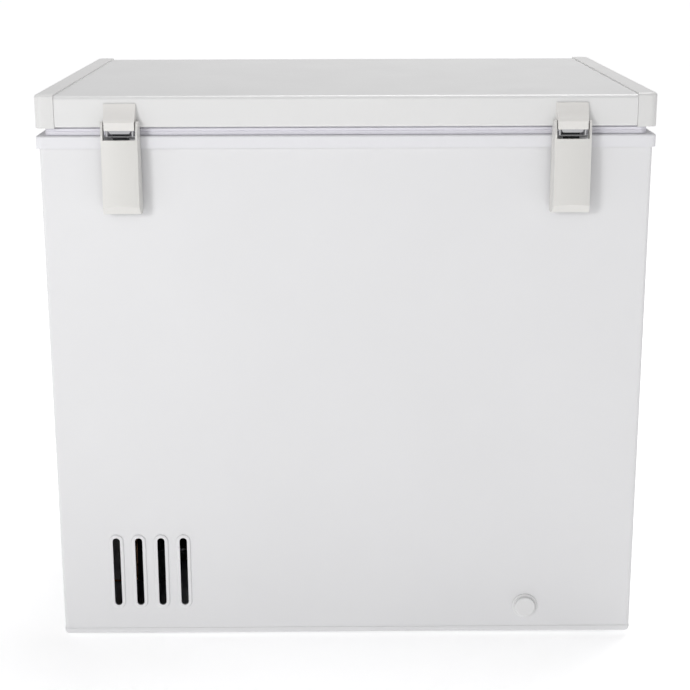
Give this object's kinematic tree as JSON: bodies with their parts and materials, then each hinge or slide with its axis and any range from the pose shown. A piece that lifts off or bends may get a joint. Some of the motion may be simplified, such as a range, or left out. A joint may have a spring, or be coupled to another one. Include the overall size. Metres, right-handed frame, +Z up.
{
  "type": "chest freezer",
  "caption": "Thick-walled white chest freezer with a flat hinged lid, draw latches at the front, front air slots, a front drain and a hanging basket.",
  "frame": {"origin": "on the floor, under the middle of the overall size", "axes": "+X to the right of someone in front, +Y to the back, +Z up; the latches face -Y"},
  "size_m": [0.9348, 0.72, 0.8875],
  "materials": {
    "white_steel": "white powder coat, satin",
    "lid_steel": "white powder coat, satin",
    "cap_plastic": "moulded, fine satin",
    "collar_plastic": "moulded, satin",
    "latch_plastic": "moulded, warm grey, satin",
    "chrome_steel": "polished",
    "dark_steel": "black zinc",
    "zinc_steel": "zinc plated",
    "liner_aluminium": "stucco embossed",
    "foam": "rigid foam",
    "gasket_vinyl": "soft vinyl",
    "magnet": "bonded ferrite strip",
    "black_enamel": "gloss black",
    "copper": "drawn copper",
    "black_plastic": "moulded",
    "rubber": "moulded",
    "lid_liner_plastic": "formed sheet",
    "drain_plastic": "moulded",
    "basket_wire": "white coated wire",
    "grille_steel": "powder coat"
  },
  "bodies": {
    "cabinet": {"cabinet_wrapper": "white_steel", "top_collar": "collar_plastic", "latch_catch_left": "dark_steel", "latch_catch_right": "dark_steel", "rear_panel": "zinc_steel", "base_panel": "zinc_steel", "bay_liner": "zinc_steel", "foot_bolts": "zinc_steel", "grille_screws": "zinc_steel", "hinge_body_screws": "zinc_steel", "catch_screws": "zinc_steel", "compressor_bolts": "zinc_steel", "hinge_pins": "zinc_steel", "hinge_spring_left": "zinc_steel", "hinge_spring_right": "zinc_steel", "hinge_cabinet_leaf_left": "zinc_steel", "hinge_cabinet_leaf_right": "zinc_steel", "inner_liner": "liner_aluminium", "cabinet_foam": "foam", "compressor": "black_enamel", "evaporator_coil": "copper", "condenser_coil": "copper", "suction_tube": "copper", "discharge_tube": "copper", "capillary_tube": "copper", "filter_drier": "copper", "electronics_module": "black_plastic", "thermostat_body": "black_plastic", "cable_gland": "black_plastic", "gland_nut": "black_plastic", "drain_tube": "black_plastic", "feet": "rubber", "compressor_grommets": "rubber", "drain_bezel": "drain_plastic", "service_grille": "grille_steel"},
    "lid": {"lid_skin": "lid_steel", "lid_end_cap_left": "cap_plastic", "lid_end_cap_right": "cap_plastic", "lid_foam": "foam", "lid_liner": "lid_liner_plastic", "lid_gasket": "gasket_vinyl", "gasket_magnet": "magnet", "hinge_lid_leaf_left": "zinc_steel", "hinge_lid_leaf_right": "zinc_steel", "hinge_lid_screws": "zinc_steel", "latch_base_left": "latch_plastic", "latch_base_right": "latch_plastic", "latch_pivot_pins": "chrome_steel"},
    "lever_left": {"latch_lever_left": "latch_plastic", "latch_bail_pin_left": "chrome_steel"},
    "bail_left": {"latch_bail_left": "chrome_steel"},
    "lever_right": {"latch_lever_right": "latch_plastic", "latch_bail_pin_right": "chrome_steel"},
    "bail_right": {"latch_bail_right": "chrome_steel"},
    "knob": {"thermostat_knob": "black_plastic"},
    "drain_cap": {"drain_cap": "drain_plastic"},
    "floor_plug": {"floor_drain_plug": "drain_plastic"},
    "basket": {"basket": "basket_wire"}
  },
  "joints": [
    {"name": "lid_hinge", "type": "hinge", "parent": "cabinet", "child": "lid", "pos_m": [0, 0.351, 0.832], "axis": [-1, 0, 0], "range_deg": [0, 85]},
    {"name": "latch_lever_left_turn", "type": "hinge", "parent": "lid", "child": "lever_left", "pos_m": [-0.338, -0.3415, 0.8425], "axis": [-1, 0, 0], "range_deg": [0, 105]},
    {"name": "latch_bail_left_turn", "type": "hinge", "parent": "lever_left", "child": "bail_left", "pos_m": [-0.338, -0.3419, 0.8465], "axis": [-1, 0, 0], "range_deg": [-66, 0]},
    {"name": "latch_lever_right_turn", "type": "hinge", "parent": "lid", "child": "lever_right", "pos_m": [0.338, -0.3415, 0.8425], "axis": [-1, 0, 0], "range_deg": [0, 105]},
    {"name": "latch_bail_right_turn", "type": "hinge", "parent": "lever_right", "child": "bail_right", "pos_m": [0.338, -0.3419, 0.8465], "axis": [-1, 0, 0], "range_deg": [-66, 0]},
    {"name": "thermostat_turn", "type": "hinge", "parent": "cabinet", "child": "knob", "pos_m": [-0.3, 0.335, 0.205], "axis": [0, 1, 0], "range_deg": [0, 270]},
    {"name": "drain_cap_pull", "type": "slide", "parent": "cabinet", "child": "drain_cap", "axis": [0, -1, 0], "range_m": [0, 0.03]},
    {"name": "floor_plug_lift", "type": "slide", "parent": "cabinet", "child": "floor_plug", "axis": [0, 0, 1], "range_m": [0, 0.04]},
    {"name": "basket_slide", "type": "slide", "parent": "cabinet", "child": "basket", "axis": [1, 0, 0], "range_m": [0, 0.434]}
  ],
  "couplings": [
    {"joint": "latch_bail_left_turn", "follows": "latch_lever_left_turn", "ratio": -0.625},
    {"joint": "latch_bail_right_turn", "follows": "latch_lever_right_turn", "ratio": -0.625}
  ]
}
